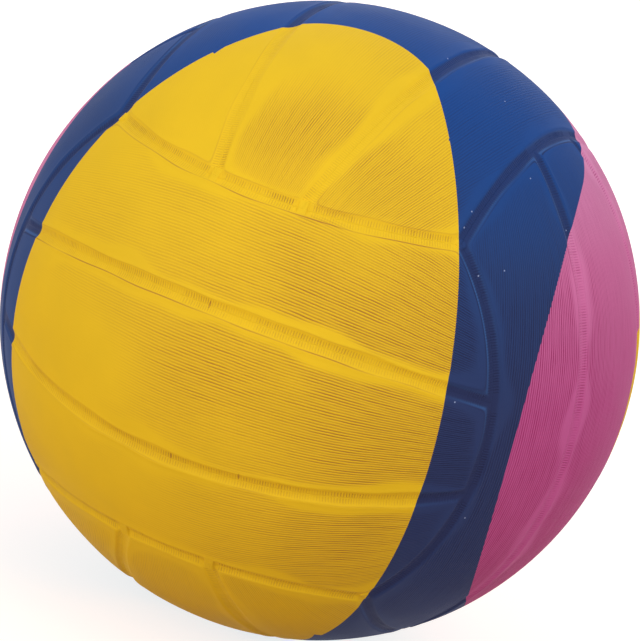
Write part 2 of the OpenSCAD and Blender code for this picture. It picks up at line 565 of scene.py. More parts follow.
        return {
            "height": height,
            "joined": joined / MM,
            "across": across / MM,
            "along": self.radius * np.arcsin(np.clip(unit[:, 0], -1, 1)) / MM,
            "first_turns": first,
            "second_turns": second,
            "groove_share": groove_share,
            "rib_turns": rib_turns,
            "rib_share": rib_share,
            "crease_and_painted_light_share": crease_and_painted_light_share * plain,
        }

    def radius_at(self, height: Array) -> Array:
        """The distance from the ball's centre, which stays within the ball's own radius."""
        outermost = self.radius - self.box_margin
        return np.minimum(self.radius - self.bead_height + height, outermost)


@dataclass
class CoverPanel:
    """One strip of rubber: a closed shell with a fine outer face and a plain inner one.

    The outer face is a grid of rows along the strip and columns across it. Its long edges have rows
    eight times as close, for the ribs in the channels.
    """

    group: Group
    strip: int
    relief: CoverRelief
    inner_radius: float
    eye_radius: float = 0.0
    rows: int = 128
    end_rows: int = 14
    columns: int = 152
    edge_columns: int = 11
    edge_share: float = 0.066
    end_share: float = 0.045
    finer: int = 8
    plain_rows: int = 32
    plain_columns: int = 8
    eye_window: int = 4
    eye_rings: int = 18

    @property
    def name(self) -> str:
        """The node that the panel stands for."""
        return self.group.panel_name(self.strip)

    def directions(self, share: Array, place: Array) -> Array:
        """Turns a place in the strip into a point of the unit sphere, in the group's axes.

        The lean a is the angle from the group's middle plane, and the length l the angle along the
        strip: the point is (sin l, cos l sin a, cos l cos a). The middle strip's lean goes evenly
        from edge to edge, and its ends lie where cos l cos a is the corner's cosine. An outer
        strip's lean ends where cos l sin a is that cosine.

        Args:
            share: From 0 at one long edge to 1 at the other.
            place: From -1 at one end to 1 at the other.

        Returns:
            Points with x, y, z as the last axis.
        """
        corner, start = self.relief.corner, self.relief.strip_angle
        if self.strip == 0:
            lean = start * (2 * share - 1)
            length = place * np.arccos(corner / np.cos(lean))
        else:
            end_lean = start + share * (math.pi / 4 - start)
            length = place * np.arccos(corner / np.cos(end_lean))
            side = np.arcsin(corner / np.cos(place * np.arccos(corner * math.sqrt(2))))
            lean = self.strip * (start + share * (side - start))
        unit = [np.sin(length), np.cos(length) * np.sin(lean), np.cos(length) * np.cos(lean)]
        return np.stack(unit, axis=-1)

    def surface(self, skin: Skin, unit: Array, outer: bool) -> Array:
        """Adds a block of points on the cover's outer or inner face.

        Args:
            skin: Where the points go.
            unit: Points of the unit sphere in the group's axes, as the last axis.
            outer: Whether they lie on the outer face, which has the relief.

        Returns:
            Their vertex numbers.
        """
        flat = unit.reshape(-1, 3)
        if not outer:
            return skin.add_points((self.inner_radius * unit) @ self.group.axes)
        form = self.relief.measure(self.group, self.strip, flat)
        radius = self.relief.radius_at(form["height"])
        world = (flat * radius[:, None]) @ self.group.axes
        traits = np.stack([form[name] for name in TRAITS], axis=1)
        return skin.add_points(world.reshape(unit.shape), traits)

    def window(self, ids: Array, low: tuple[int, int],
               high: tuple[int, int]) -> tuple[Array, list[Array]]:
        """Opens a grid round the valve.

        Args:
            ids: The grid's vertex numbers.
            low: Row and column of the window's first corner.
            high: Row and column of its last corner.

        Returns:
            The quads outside the window, and its four sides, counterclockwise from outside.
        """
        quads = grid_quads(ids).reshape(ids.shape[0] - 1, ids.shape[1] - 1, 4)
        kept = np.ones(quads.shape[:2], bool)
        kept[low[0]:high[0], low[1]:high[1]] = False
        box = ids[low[0]:high[0] + 1, low[1]:high[1] + 1]
        return quads[kept], [box[:, 0], box[-1], box[::-1, -1], box[0, ::-1]]

    def eye_ring(self, skin: Skin, sides: list[Array], rings: int, outer: bool) -> list[Array]:
        """Fills the window with rings that go from its rim to the round hole for the valve.

        A point of a ring lies on the straight line, seen from outside, from the rim to the hole's
        edge. The shares of the way follow a sine, which is closer near the hole.

        Args:
            skin: Where the points and faces go.
            sides: Vertex numbers of the window's four sides.
            rings: How many steps lead to the hole.
            outer: Whether this is the outer face.

        Returns:
            Vertex numbers of the hole's edge, in four parts like the sides.
        """
        loop = np.concatenate([side[:-1] for side in sides])
        rim = np.concatenate(skin.points)[loop] @ self.group.axes.T
        rim /= np.linalg.norm(rim, axis=1, keepdims=True)
        turn = np.arctan2(rim[:, 1], rim[:, 0])
        hole = self.eye_radius / (self.relief.radius if outer else self.inner_radius)
        target = hole * np.stack([np.cos(turn), np.sin(turn)], axis=-1)
        share = np.sin(np.linspace(0, math.pi / 2, rings + 1))[1:, None, None]
        flat = rim[None, :, :2] * (1 - share) + target[None] * share
        out = np.sqrt(1 - (flat**2).sum(axis=-1, keepdims=True))
        ring_ids = self.surface(skin, np.concatenate([flat, out], axis=-1), outer)
        ids = np.concatenate([loop[None], ring_ids])
        ids = np.concatenate([ids, ids[:, :1]], axis=1)
        skin.add_faces(grid_quads(ids), flipped=outer)
        ends = np.cumsum([0] + [len(side) - 1 for side in sides])
        return [ids[-1, ends[k]:ends[k + 1] + 1] for k in range(4)]

    def build(self) -> bpy.types.Object:
        """Builds the closed shell.

        Returns:
            The new object.
        """
        skin = Skin(trait_count=len(TRAITS))
        place = self.places()
        fine_row = np.arange(self.rows * self.finer + 1) / self.finer
        fine_place = np.interp(fine_row, np.arange(self.rows + 1), place)
        edge = np.linspace(0, self.edge_share, self.edge_columns + 1)
        step = self.edge_share / self.edge_columns
        body = np.linspace(self.edge_share + step, 1 - self.edge_share - step, self.columns + 1)
        every_row = self.rows // self.plain_rows
        every_column = (self.columns + 2 * self.edge_columns + 2) // self.plain_columns

        def block(shares: Array, places: Array, outer: bool) -> Array:
            """Adds the points of a grid of places by shares."""
            return self.surface(skin, self.directions(*np.meshgrid(shares, places)), outer)

        first = block(edge, fine_place, True)
        middle = block(body, place, True)
        last = block(1 - edge[::-1], fine_place, True)
        chain = np.concatenate([edge, body, 1 - edge[::-1]])
        inner = block(chain[::every_column], place[::every_row], False)
        mirrored = self.strip < 0
        if self.eye_radius:
            half = self.eye_window // 2
            low = (self.plain_rows // 2 - half, self.plain_columns // 2 - half)
            high = (low[0] + 2 * half, low[1] + 2 * half)
            fine_low, fine_high = ((row * every_row, column * every_column - self.edge_columns - 1)
                                   for row, column in (low, high))
            quads, sides = self.window(middle, fine_low, fine_high)
            inner_quads, inner_sides = self.window(inner, low, high)
            hole = self.eye_ring(skin, sides, self.eye_rings, True)
            inner_hole = self.eye_ring(skin, inner_sides, 3, False)
            for coarse, fine in zip(inner_hole, hole):
                skin.add_faces(stitch(coarse, fine), flat=True)
        else:
            quads, inner_quads = grid_quads(middle), grid_quads(inner)
        seam = stitch(middle[:, 0], first[:, -1])
        for faces in (quads, grid_quads(first), grid_quads(last), seam):
            skin.add_faces(faces, flipped=mirrored)
        skin.add_faces(stitch(middle[:, -1], last[:, 0]), flipped=not mirrored)
        skin.add_faces(inner_quads, flipped=not mirrored)
        ends = [np.concatenate([first[k], middle[k], last[k]]) for k in (0, -1)]
        for coarse, fine, turned_round in (
                (inner[:, 0], first[:, 0], True), (inner[:, -1], last[:, -1], False),
                (inner[0], ends[0], False), (inner[-1], ends[1], True)):
            skin.add_faces(stitch(coarse, fine), flipped=turned_round != mirrored, flat=True)
        return new_object(f"{self.name}_skin", skin.mesh(self.name, TRAITS))

    def places(self) -> Array:
        """Where the rows lie, from -1 to 1, closer together at the ends."""
        end = np.linspace(0, self.end_share, self.end_rows + 1)
        steps = self.rows - 2 * self.end_rows
        middle = np.linspace(self.end_share, 2 - self.end_share, steps + 1)[1:-1]
        return np.concatenate([end, middle, 2 - end[::-1]]) - 1


@dataclass
class Cover:
    """The eighteen panels and their painted finish."""

    relief: CoverRelief
    thickness: float = 1.5 * MM
    eye_radius: float = 6.5 * MM
    panels: list[bpy.types.Object] = field(default_factory=list)

    def build(self) -> None:
        """Builds every panel, in place of its node."""
        inner_radius = self.relief.radius - self.thickness
        for group in Group:
            for strip in (-1, 0, 1):
                holds_valve = group is Group.BACK and strip == 0
                panel = CoverPanel(group, strip, self.relief, inner_radius,
                                   self.eye_radius if holds_valve else 0.0)
                piece = panel.build()
                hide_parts(panel.name)
                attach(piece, "ball")
                self.panels.append(piece)
                LOG.info("%s: %d faces", piece.name, len(piece.data.polygons))

    def dress(self, material: bpy.types.Material) -> None:
        """Gives every panel the painted rubber."""
        for piece in self.panels:
            piece.data.materials.append(material)


def linear(red: int, green: int, blue: int) -> tuple[float, float, float, float]:
    """A colour as it is seen on a screen, from 0 to 255, as the shader wants it."""
    shares = (c / 255 for c in (red, green, blue))
    return (*(s / 12.92 if s <= 0.04045 else ((s + 0.055) / 1.055) ** 2.4 for s in shares), 1.0)


class Wiring:
    """Lays nodes in one tree and joins them."""

    def __init__(self, tree: bpy.types.NodeTree) -> None:
        """Takes the tree in which the nodes are laid."""
        self.tree = tree

    def fill(self, node: bpy.types.Node, inputs: dict[str | int, Value]) -> None:
        """Joins a node's sockets to other nodes' outputs, or sets them to numbers or colours."""
        for name, value in inputs.items():
            if isinstance(value, bpy.types.NodeSocket):
                self.tree.links.new(value, node.inputs[name])
            else:
                node.inputs[name].default_value = value

    def node(self, kind: str, inputs: dict[str | int, Value] | None = None,
             **settings: object) -> bpy.types.Node:
        """Adds a node.

        Args:
            kind: The node's type, without its ShaderNode prefix.
            inputs: What goes into its sockets: another node's output, a number or a colour.
            settings: The node's own settings.

        Returns:
            The new node.
        """
        node = self.tree.nodes.new(f"ShaderNode{kind}")
        for name, value in settings.items():
            setattr(node, name, value)
        self.fill(node, inputs or {})
        return node

    def math(self, operation: str, *values: Value, clamp: bool = False) -> Socket:
        """One step of arithmetic on one, two or three values."""
        inputs = dict(enumerate(values))
        return self.node("Math", inputs, operation=operation, use_clamp=clamp).outputs[0]

    def product(self, first: Value, *others: Value) -> Socket:
        """Multiplies values."""
        for other in others:
            first = self.math("MULTIPLY", first, other)
        return first

    def total(self, *parts: tuple[Value, Value], start: Value = 0.0, clamp: bool = False) -> Socket:
        """Adds up values, each times its weight.

        Args:
            parts: Each value with its weight.
            start: What they are added to.
            clamp: Whether each sum is kept from 0 to 1.

        Returns:
            The sum.
        """
        for value, weight in parts:
            start = self.math("MULTIPLY_ADD", value, weight, start, clamp=clamp)
        return start

    def vector(self, operation: str, *values: Value) -> Socket:
        """One step of arithmetic on vectors, with a vector as its result."""
        inputs = dict(enumerate(values))
        if operation == "SCALE":
            inputs = {0: values[0], "Scale": values[1]}
        return self.node("VectorMath", inputs, operation=operation).outputs[0]

    def measured(self, operation: str, *values: Value) -> Socket:
        """One step of arithmetic on vectors, with a number as its result."""
        inputs = dict(enumerate(values))
        return self.node("VectorMath", inputs, operation=operation).outputs["Value"]

    def blend(self, share: Value, first: Value, second: Value) -> Socket:
        """Mixes two colours by a share."""
        inputs = {0: share, 6: first, 7: second}
        return self.node("Mix", inputs, data_type="RGBA", clamp_factor=True).outputs[2]

    def span(self, value: Value, low: float, high: float, start: float, end: float) -> Socket:
        """Takes low to start and high to end in a straight line, and no further."""
        return self.node("MapRange", dict(enumerate((value, low, high, start, end)))).outputs[0]

    def share(self, value: Value, low: float, high: float) -> Socket:
        """Takes low to 0 and high to 1 in a straight line, and no further."""
        return self.span(value, low, high, 0.0, 1.0)

    def noise(self, place: Value, length: float, roughness: float = 0.5) -> Socket:
        """Soft noise from 0 to 1 whose blotches are about one length wide."""
        inputs = {"Vector": place, "Scale": 1 / length, "Detail": 2.0, "Roughness": roughness}
        return self.node("TexNoise", inputs).outputs[0]

    def bump(self, height: Value, strength: float, distance: float) -> Socket:
        """The normal of a surface that rises and falls by a height times a distance."""
        inputs = {"Height": height, "Strength": strength, "Distance": distance}
        return self.node("Bump", inputs).outputs[0]

    def trait(self, name: str) -> Socket:
        """A value that the piece's mesh keeps for each of its points."""
        return self.node("Attribute", attribute_name=name).outputs["Fac"]

    def cosine(self, turns: Value) -> Socket:
        """The cosine of an angle in turns."""
        return self.math("COSINE", self.product(turns, 2 * math.pi))

    def place(self) -> Socket:
        """The place on the object, in metres from the ball's centre."""
        return self.node("TexCoord").outputs["Object"]


def shared_group(
        name: str, inputs: dict[str, str], outputs: dict[str, str],
        lay: Callable[[Wiring, dict[str, Socket]], dict[str, Socket]]) -> bpy.types.NodeTree:
    """Makes a node group once and hands out the same one later.

    Args:
        name: The group's name.
        inputs: The kind of each input socket, such as Float, Vector or Color.
        outputs: The kind of each output socket.
        lay: Lays the group's nodes from its inputs and returns what goes to its outputs.

    Returns:
        The node group.
    """
    found = bpy.data.node_groups.get(name)
    if found:
        return found
    tree = bpy.data.node_groups.new(name, "ShaderNodeTree")
    for sockets, direction in ((inputs, "INPUT"), (outputs, "OUTPUT")):
        for socket, kind in sockets.items():
            tree.interface.new_socket(socket, in_out=direction, socket_type=f"NodeSocket{kind}")
    start, end = tree.nodes.new("NodeGroupInput"), tree.nodes.new("NodeGroupOutput")
    results = lay(Wiring(tree), {socket: start.outputs[socket] for socket in inputs})
    Wiring(tree).fill(end, results)
    return tree


def rubber_grain(wiring: Wiring, place: Socket, fine: float,
                 coarse: float) -> tuple[Socket, Socket]:
    """The skin of moulded rubber: a fine grain with a slow unevenness under it.

    Args:
        wiring: The material's wiring.
        place: Where on the piece.
        fine: Width of the grain.
        coarse: Width of the slow blotches.

    Returns:
        The grain's height and the blotches, both from 0 to 1.
    """

    def lay(inside: Wiring, given: dict[str, Socket]) -> dict[str, Socket]:
        """Lays the group's nodes: two noises, the finer one more broken up than the coarse one."""
        grain, blotch = (
            inside.node("TexNoise", {"Vector": given["Place"], "Scale": given[scale],
                                     "Detail": detail, "Roughness": roughness}).outputs[0]
            for scale, detail, roughness in (("Fine", 4.0, 0.6), ("Coarse", 3.0, 0.5)))
        return {"Grain": grain, "Blotch": inside.share(blotch, NOISE_LOW, NOISE_HIGH)}

    tree = shared_group("rubber_grain", {"Place": "Vector", "Fine": "Float", "Coarse": "Float"},
                        {"Grain": "Float", "Blotch": "Float"}, lay)
    inputs = {"Place": place, "Fine": 1 / fine, "Coarse": 1 / coarse}
    outputs = wiring.node("Group", inputs, node_tree=tree).outputs
    return outputs["Grain"], outputs["Blotch"]


@dataclass(frozen=True)
class ColourZones:
    """Where the ball is painted yellow, pink and blue, by angles about its centre.

    The front is yellow between two great circles that meet near the top and the bottom, and the
    back between two that meet near the right and the left side. Their tips are rounded with a
    circle. The front's yellow is turned a little to the left and is a little wider at the bottom.
    Nearer the sides than the top and the bottom, pink lies inside a circle round each side that is
    tilted to the back. Elsewhere it lies outside two circles, round the top and the bottom, that
    are tilted to the front. Yellow lies over pink, and the rest is blue.
    """

    edge_angle: float = math.radians(45.3)
    front_turn: float = 0.0173
    front_widening: float = 0.0184
    tip_middle: float = math.radians(35.4)
    tip_radius: float = math.radians(24.75)
    tilt: float = math.radians(18.24)

    def masks(self, wiring: Wiring, place: Socket) -> tuple[Socket, Socket]:
        """Lays the zones.

        Args:
            wiring: The material's wiring.
            place: Where on the ball, in any length.

        Returns:
            The masks of yellow and pink, 0 or 1.
        """
        tree = shared_group("colour_zones", {"Place": "Vector"},
                            {"Yellow": "Float", "Pink": "Float"}, self.lay)
        outputs = wiring.node("Group", {"Place": place}, node_tree=tree).outputs
        return outputs["Yellow"], outputs["Pink"]

    def lay(self, inside: Wiring, given: dict[str, Socket]) -> dict[str, Socket]:
        """Lays the group's nodes."""
        unit = inside.vector("NORMALIZE", given["Place"])
        right, back, up = inside.node("SeparateXYZ", {0: unit}).outputs
        side, tall = inside.math("ABSOLUTE", right), inside.math("ABSOLUTE", up)
        front = inside.product(back, -1.0)

        def lune(across: Socket, pole: Socket, ahead: Socket, limit: Socket) -> Socket:
            """Where a place lies between the edges and under the rounded tip."""
            cosine, sine = math.cos(self.tip_middle), math.sin(self.tip_middle)
            nearness = inside.total((ahead, sine), start=inside.product(pole, cosine))
            rounded = inside.math(
                "MAXIMUM", inside.math("LESS_THAN", pole, cosine),
                inside.math("GREATER_THAN", nearness, math.cos(self.tip_radius)))
            return inside.product(inside.math("LESS_THAN", across, limit), rounded)

        widest = math.tan(self.edge_angle)
        turned_side = inside.math("ABSOLUTE", inside.total((front, self.front_turn), start=right))
        front_limit = inside.total((up, -self.front_widening), start=inside.product(front, widest))
        yellow = inside.math("MAXIMUM", lune(turned_side, tall, front, front_limit),
                             lune(tall, side, back, inside.product(back, widest)))
        limit, cosine = math.cos(self.tilt) / math.sqrt(2), math.cos(self.tilt)
        lean = inside.product(front, math.sin(self.tilt))
        beside = inside.math("GREATER_THAN", inside.math(
            "SUBTRACT", inside.product(side, cosine), lean), limit)
        above = inside.math("LESS_THAN", inside.math(
            "ADD", inside.product(tall, cosine), lean), limit)
        wide = inside.math("GREATER_THAN", side, tall)
        pink = inside.total((inside.math("SUBTRACT", 1.0, wide), above),
                            start=inside.product(wide, beside))
        return {"Yellow": yellow, "Pink": pink}


@dataclass(frozen=True)
class PaintedRubber:
    """Satin rubber in three painted colours, darker in its grooves, with a fine grain.

    The deep colours are painted shade, towards which the paint is drawn in the grooves, between the
    ribs, in the creases and in small nicks. Each hollow's painted shade is how much it draws the
    paint there, and a relief how deep the hollow is, in mm, in the bump. The places and widths of
    the lines along a lip are in mm too.
    """

    zones: ColourZones = ColourZones()
    yellow: Colour = linear(238, 196, 37)
    # The deep colours are painted shade for the hollows: grooves, between ribs, creases and nicks
    yellow_painted_shade: Colour = linear(178, 121, 52)
    blue: Colour = linear(38, 67, 122)
    # Blue's painted shade in the hollows and on the floors of its channels
    blue_painted_shade: Colour = linear(38, 42, 78)
    # A painted highlight along the lips of blue channels
    blue_lip_painted_highlight: Colour = linear(62, 106, 168)
    # Blue's painted light high on the ball and painted shade low on its right
    blue_top_painted_light: Colour = linear(24, 72, 144)
    blue_low_painted_shade: Colour = linear(46, 60, 104)
    pink: Colour = linear(216, 124, 174)
    # Pink's painted shade in the hollows
    pink_painted_shade: Colour = linear(160, 38, 102)
    # Pink's painted light high on the ball and painted shade low on its right
    pink_top_painted_light: Colour = linear(220, 147, 190)
    pink_low_painted_shade: Colour = linear(199, 94, 155)
    speck: Colour = linear(150, 165, 205)
    specks: tuple[Point, ...] = (
        (0.720, -0.679, 0.145), (0.805, -0.547, -0.230), (0.221, -0.112, 0.969),
        (0.428, -0.096, 0.899), (0.621, -0.247, 0.744), (0.556, -0.505, 0.660),
        (0.562, -0.548, 0.620), (0.698, -0.492, 0.520), (0.652, -0.568, 0.502),
        (0.761, -0.194, 0.619))
    speck_radius: float = 0.25 * MM
    stray_spacing: float = 13 * MM
    stray_size: float = 0.7
    stray_rarity: float = 0.7
    nicks: tuple[Point, ...] = (
        (0.005, -0.971, -0.237), (0.222, -0.949, -0.225), (0.003, -0.968, 0.250))
    nick_radius: float = 1.2 * MM
    nick_narrowing: float = 3.2
    ball_radius: float = 105 * MM
    # Painted shade on the floors of blue channels, and the heights over which it comes in
    channel_floor_painted_shade: float = 0.55
    channel_floor_shade_heights: Pair = (-0.15 * MM, -0.50 * MM)
    # Where the painted light high on the ball and the painted shade low on its right come in
    top_painted_light_heights: Pair = (55 * MM, 92 * MM)
    low_painted_shade_heights: Pair = (62 * MM, 12 * MM)
    low_painted_shade_sides: Pair = (-20 * MM, 30 * MM)
    grain: float = 0.30 * MM
    blotch: float = 26 * MM
    mottling: Pair = (0.97, 1.03)
    roughness: Pair = (0.56, 0.66)
    hollow_roughness: float = 0.15
    step: float = 0.45
    step_towards: Point = (0.8, 0.35, -0.55)
    fray: float = 0.30 * MM
    line_shares: Pair = (0.40, 0.10)
    line_sharpness: float = 1.5
    line_breaks: Pair = (0.85, 0.075)
    break_roughness: float = 0.65
    broken: tuple[float, ...] = (0.36, 0.62, 0.70, 1.0)
    # How much painted shade each kind of hollow gets
    groove_painted_shade: float = 0.85
    rib_painted_shade: float = 0.45
    crease_painted_shade: float = 0.95
    nick_painted_shade: float = 0.5
    groove_relief: float = 0.115
    rib_relief: float = 0.045
    crease_relief: float = 0.045
    grain_relief: float = 0.012
    crease_place: float = 2.55
    crease_width: float = 0.20
    # Place, width and strength of blue's painted highlight along the lips
    lip_place: float = 1.85
    lip_width: float = 0.42
    lip_painted_highlight: float = 0.75

    def grooves(self, wiring: Wiring) -> Socket:
        """The grooves' lines, from 0 to 1: both sets together, broken up along their length."""
        waves = (wiring.cosine(wiring.trait(name)) for name in ("first_turns", "second_turns"))
        lines = wiring.total(*zip(waves, self.line_shares), start=sum(self.line_shares))
        across, along = (wiring.product(wiring.trait(name), rate)
                         for name, rate in zip(("across", "along"), self.line_breaks))
        place = wiring.node("CombineXYZ", {0: across, 1: along}).outputs[0]
        broken = wiring.span(wiring.noise(place, 1.0, self.break_roughness), *self.broken)
        sharp = wiring.math("POWER", lines, self.line_sharpness)
        return wiring.product(sharp, broken, wiring.trait("groove_share"))

    def lip_line(self, wiring: Wiring, place: float, width: float) -> Socket:
        """A thin line along each lip, from 0 to 1: a bell of the distance from the seams.

        Args:
            wiring: The material's wiring.
            place: The line's distance from the seam.
            width: Its half width.

        Returns:
            How much of the line is at a point.
        """
        from_line = wiring.math("SUBTRACT", wiring.trait("joined"), place)
        offset = wiring.math("DIVIDE", from_line, width)
        bell = wiring.math("EXPONENT", wiring.product(offset, offset, -1.0))
        return wiring.product(bell, wiring.trait("crease_and_painted_light_share"))

    def near(self, wiring: Wiring, place: Socket, spots: Sequence[Point], reach: float,
             narrowing: float = 1.0) -> Socket:
        """Marks small discs on the ball.

        Args:
            wiring: The material's wiring.
            place: Where on the ball.
            spots: The discs' directions from the ball's centre.
            reach: Their radius.
            narrowing: How many times narrower a disc is along X.

        Returns:
            1 inside a disc and 0 elsewhere.
        """
        narrow = (narrowing, 1.0, 1.0)
        direction = wiring.vector("MULTIPLY", wiring.vector("NORMALIZE", place), narrow)
        nearest: Value = 1.0
        for spot in spots:
            unit = tuple(np.array(spot) / np.linalg.norm(spot) * narrow)
            distance = wiring.measured("DISTANCE", direction, unit)
            nearest = wiring.math("MINIMUM", distance, nearest)
        return wiring.math("LESS_THAN", nearest, reach / self.ball_radius)

    def speckled(self, wiring: Wiring, place: Socket) -> Socket:
        """The small specks of pale dust: at the known places, and thinly over the rest."""
        known = self.near(wiring, place, self.specks, self.speck_radius)
        cells = wiring.node("TexVoronoi", {"Vector": place, "Scale": 1 / self.stray_spacing})
        dot = wiring.math("LESS_THAN", cells.outputs["Distance"],
                          self.stray_size * self.speck_radius / self.stray_spacing)
        draw = wiring.node("SeparateColor", {0: cells.outputs["Color"]}).outputs[0]
        chosen = wiring.math("GREATER_THAN", draw, self.stray_rarity)
        return wiring.math("MAXIMUM", known, wiring.product(dot, chosen))

    def paint(self, wiring: Wiring, place: Socket, groove: Socket, hollow: Socket) -> Socket:
        """The zones' colours. Their edges step aside in the channels and fray at the grooves.

        Blue and pink are paler high on the ball, a painted light, and duller low on its right, a
        painted shade. Blue is darker on the floor of a channel, a painted shade, and brighter along
        its lip, a painted highlight.

        Args:
            wiring: The material's wiring.
            place: Where on the ball.
            groove: The grooves' lines.
            hollow: How much of the hollows' painted shade a point gets, from 0 to 1.

        Returns:
            The colour.
        """
        right, _, up = wiring.node("SeparateXYZ", {0: place}).outputs
        # Painted light high on the ball and painted shade low on its right
        high = wiring.share(up, *self.top_painted_light_heights)
        low = wiring.product(wiring.share(up, *self.low_painted_shade_heights),
                             wiring.share(right, *self.low_painted_shade_sides))
        height = wiring.trait("height")
        shift = wiring.total((groove, -self.fray), start=wiring.product(height, self.step))
        moved = wiring.vector("ADD", place, wiring.vector("SCALE", self.step_towards, shift))
        in_yellow, in_pink = self.zones.masks(wiring, moved)

        def with_painted_light_and_shade(middle: Colour, dull: Colour, pale: Colour) -> Socket:
            """A paint with its painted shade low on the right and its painted light high on the ball.
            """
            return wiring.blend(high, wiring.blend(low, middle, dull), pale)

        def zoned(blue: Value, pink: Value, yellow: Value) -> Socket:
            """A colour for each zone in its place."""
            return wiring.blend(in_yellow, wiring.blend(in_pink, blue, pink), yellow)

        # Painted shade on the floor of a blue channel
        channel_floor_shade = wiring.product(wiring.share(height, *self.channel_floor_shade_heights), self.channel_floor_painted_shade)
        # Painted highlight along the lip of a blue channel
        lip = wiring.product(self.lip_line(wiring, self.lip_place, self.lip_width), self.lip_painted_highlight)
        blue = wiring.blend(channel_floor_shade, with_painted_light_and_shade(self.blue, self.blue_low_painted_shade, self.blue_top_painted_light), self.blue_painted_shade)
        blue = wiring.blend(lip, blue, self.blue_lip_painted_highlight)
        fresh = zoned(blue, with_painted_light_and_shade(self.pink, self.pink_low_painted_shade, self.pink_top_painted_light), self.yellow)
        # Painted shade: the paint goes towards the deep colours in the hollows
        return wiring.blend(hollow, fresh, zoned(self.blue_painted_shade, self.pink_painted_shade, self.yellow_painted_shade))

    def material(self) -> bpy.types.Material:
        """Makes the material.

        Returns:
            The material for the panels and the valve's collar.
        """
        material, wiring, shader = new_finish("painted_rubber", roughness=0.6, specular=0.09)
        place = wiring.place()
        grain, blotch = rubber_grain(wiring, place, self.grain, self.blotch)
        groove = self.grooves(wiring)
        # The crease along the lip: a dent in the bump and a painted shade in the colour
        crease = self.lip_line(wiring, self.crease_place, self.crease_width)
        rib = wiring.product(wiring.cosine(wiring.trait("rib_turns")), wiring.trait("rib_share"))
        between_ribs = wiring.math("MAXIMUM", wiring.product(rib, -1.0), 0.0)
        nick = self.near(wiring, place, self.nicks, self.nick_radius, self.nick_narrowing)
        # Painted shade in the hollows: grooves, between the ribs, creases and nicks
        hollow = wiring.total((groove, self.groove_painted_shade), (between_ribs, self.rib_painted_shade),
                              (crease, self.crease_painted_shade), (nick, self.nick_painted_shade), clamp=True)
        lit = wiring.vector("SCALE", self.paint(wiring, place, groove, hollow),
                            wiring.span(blotch, 0.0, 1.0, *self.mottling))
        gloss = wiring.span(blotch, 0.0, 1.0, *self.roughness)
        relief = wiring.total((groove, -self.groove_relief), (rib, self.rib_relief),
                              (crease, -self.crease_relief), (grain, self.grain_relief))
        wiring.fill(shader, {
            "Base Color": wiring.blend(self.speckled(wiring, place), lit, self.speck),
            "Roughness": wiring.total((hollow, self.hollow_roughness), start=gloss),
            "Normal": wiring.bump(relief, 1.0, MM),
        })
        return material


def new_finish(name: str, roughness: float, specular: float = 0.5) -> tuple[
        bpy.types.Material, Wiring, bpy.types.Node]:
    """Starts a material with one Principled shader.

    Args:
        name: The material's name.
        roughness: The shader's roughness where nothing feeds it.
        specular: The shader's specular level.

    Returns:
        The material, its wiring and its shader.
    """
    material = bpy.data.materials.new(name)
    material.use_nodes = True
    wiring, shader = Wiring(material.node_tree), material.node_tree.nodes["Principled BSDF"]
    wiring.fill(shader, {"Roughness": roughness, "Specular IOR Level": specular})
    return material, wiring, shader


@dataclass(frozen=True)
class PlainRubber:
    """Unpainted rubber in one colour, mottled, with a moulded grain."""

    name: str
    light: Colour
    dark: Colour
    roughness: float
    roughness_spread: float = 0.08
    grain: float = 0.4 * MM
    blotch: float = 9 * MM
    relief: float = 0.05 * MM
    relief_strength: float = 0.5

    def material(self) -> bpy.types.Material:
        """Makes the material."""
        material, wiring, shader = new_finish(self.name, self.roughness)
        grain, blotch = rubber_grain(wiring, wiring.place(), self.grain, self.blotch)
        wiring.fill(shader, {
            "Base Color": wiring.blend(blotch, self.dark, self.light),
            "Roughness": wiring.span(grain, NOISE_LOW, NOISE_HIGH,
                                     self.roughness - self.roughness_spread,
                                     self.roughness + self.roughness_spread),
            "Normal": wiring.bump(grain, self.relief_strength, self.relief),
        })
        return material


@dataclass(frozen=True)
class WoundThread:
    """Nylon thread laid round the ball in great circles that cross each other."""

    light: Colour = linear(232, 228, 214)
    dark: Colour = linear(168, 160, 140)
    thread: float = 0.45 * MM
    turns: tuple[Point, ...] = ((1, 0.2, 0.3), (-0.3, 1, 0.4), (0.3, -0.5, 1))
    under: float = 0.9
    soiling: float = 6 * MM
    soiled: Pair = (0.8, 1.0)
    relief: float = 0.15 * MM
    relief_strength: float = 0.8

    def material(self) -> bpy.types.Material:
        """Makes the material: each layer's threads are the ridges of a sine across its axis."""
        material, wiring, shader = new_finish("nylon_thread", roughness=0.45)
        place = wiring.place()
        height: Socket | None = None
        for turn in self.turns:
            across = wiring.measured("DOT_PRODUCT", place, turn)
            wave = wiring.math("SINE", wiring.product(across, math.pi / self.thread))
            ridge = wiring.math("ABSOLUTE", wave)
            height = ridge if height is None else wiring.math(
                "MAXIMUM", height, wiring.product(ridge, self.under))
        soil = wiring.span(wiring.noise(place, self.soiling), NOISE_LOW, NOISE_HIGH, *self.soiled)
        wiring.fill(shader, {
            # Painted shade: darker between the threads than on their ridges, and soiled in random
            # patches
            "Base Color": wiring.blend(wiring.product(height, soil), self.dark, self.light),
            "Normal": wiring.bump(height, self.relief_strength, self.relief),
        })
        return material


